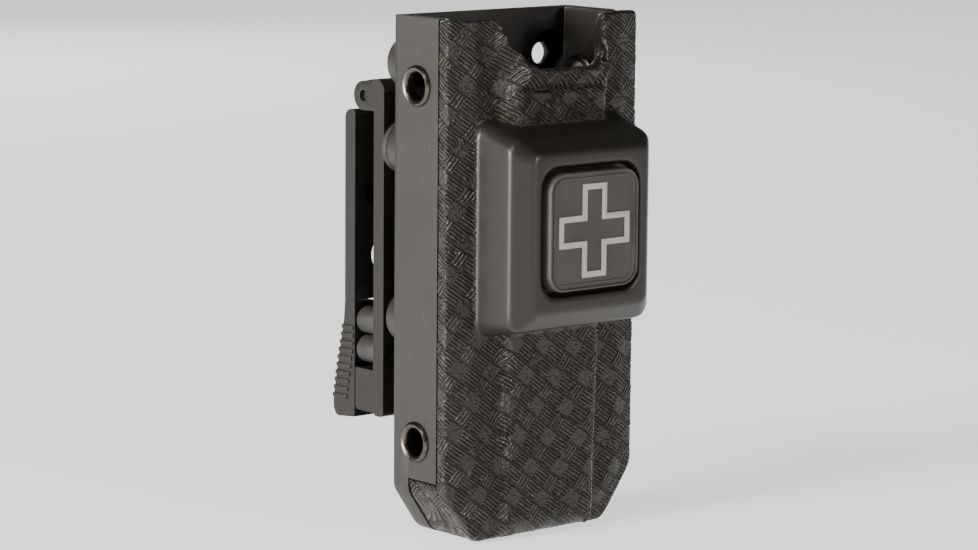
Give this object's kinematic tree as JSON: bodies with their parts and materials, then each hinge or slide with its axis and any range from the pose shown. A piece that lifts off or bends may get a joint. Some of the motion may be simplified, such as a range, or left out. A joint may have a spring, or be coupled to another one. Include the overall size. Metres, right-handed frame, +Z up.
{
  "type": "tourniquet case",
  "caption": "Rigid belt case for a tourniquet: textured front shell with a raised cross badge, plain back shell, eyelets, and a hinged belt clip with squeeze releases.",
  "frame": {"origin": "middle of the object's footprint, on the plane that the case's bottom stands on", "axes": "+X is right when facing the badge, -Y is the badge side, +Y is the belt clip side, +Z is up towards the open mouth"},
  "size_m": [0.056, 0.0618, 0.1164],
  "materials": {
    "back_sheet": "fine satin thermoplastic sheet",
    "front_sheet": "basket-weave embossed thermoplastic sheet, smooth where drawn",
    "eyelet_metal": "darkened metal, lightly worn",
    "badge_rubber": "moulded soft rubber",
    "badge_ink": "light grey moulded inlay",
    "adhesive_pad": "foam tape",
    "spacer_rubber": "smooth black rubber",
    "black_steel": "black oxide steel",
    "clip_plastic": "fine-grained moulded nylon"
  },
  "bodies": {
    "case": {"back_shell": "back_sheet", "badge_base": "badge_rubber", "badge_cross": "badge_ink", "badge_pad": "adhesive_pad", "belt_post_lower_left": "clip_plastic", "belt_post_lower_right": "clip_plastic", "belt_post_upper_left": "clip_plastic", "belt_post_upper_right": "clip_plastic", "clip_base": "clip_plastic", "eyelet_lower_left": "eyelet_metal", "eyelet_lower_right": "eyelet_metal", "eyelet_upper_left": "eyelet_metal", "eyelet_upper_right": "eyelet_metal", "front_shell": "front_sheet", "hinge_pin": "black_steel", "mount_screw_left": "black_steel", "mount_screw_lower": "black_steel", "mount_screw_right": "black_steel", "post_nut_left": "black_steel", "post_nut_lower": "black_steel", "post_nut_right": "black_steel", "post_screws": "black_steel", "spacer_washer_left": "spacer_rubber", "spacer_washer_lower": "spacer_rubber", "spacer_washer_right": "spacer_rubber"},
    "gate": {"gate": "clip_plastic"},
    "lever_left": {"release_lever_left": "clip_plastic", "lever_hook_left": "clip_plastic"},
    "lever_right": {"release_lever_right": "clip_plastic", "lever_hook_right": "clip_plastic"},
    "lock": {"lock_slide": "clip_plastic"}
  },
  "joints": [
    {"name": "gate_hinge", "type": "hinge", "parent": "case", "child": "gate", "pos_m": [0, 0.02026, 0.0974], "axis": [1, 0, 0], "range_deg": [0, 105]},
    {"name": "lever_left_squeeze", "type": "hinge", "parent": "gate", "child": "lever_left", "pos_m": [-0.024, 0.02488, 0.0506], "axis": [0, -1, 0], "range_deg": [0, 5], "stiffness_Nm_per_rad": 0.6},
    {"name": "lever_right_squeeze", "type": "hinge", "parent": "gate", "child": "lever_right", "pos_m": [0.024, 0.02488, 0.0506], "axis": [0, 1, 0], "range_deg": [0, 5], "stiffness_Nm_per_rad": 0.6},
    {"name": "lock_travel", "type": "slide", "parent": "gate", "child": "lock", "axis": [0, 0, 1], "range_m": [0, 0.004]}
  ]
}
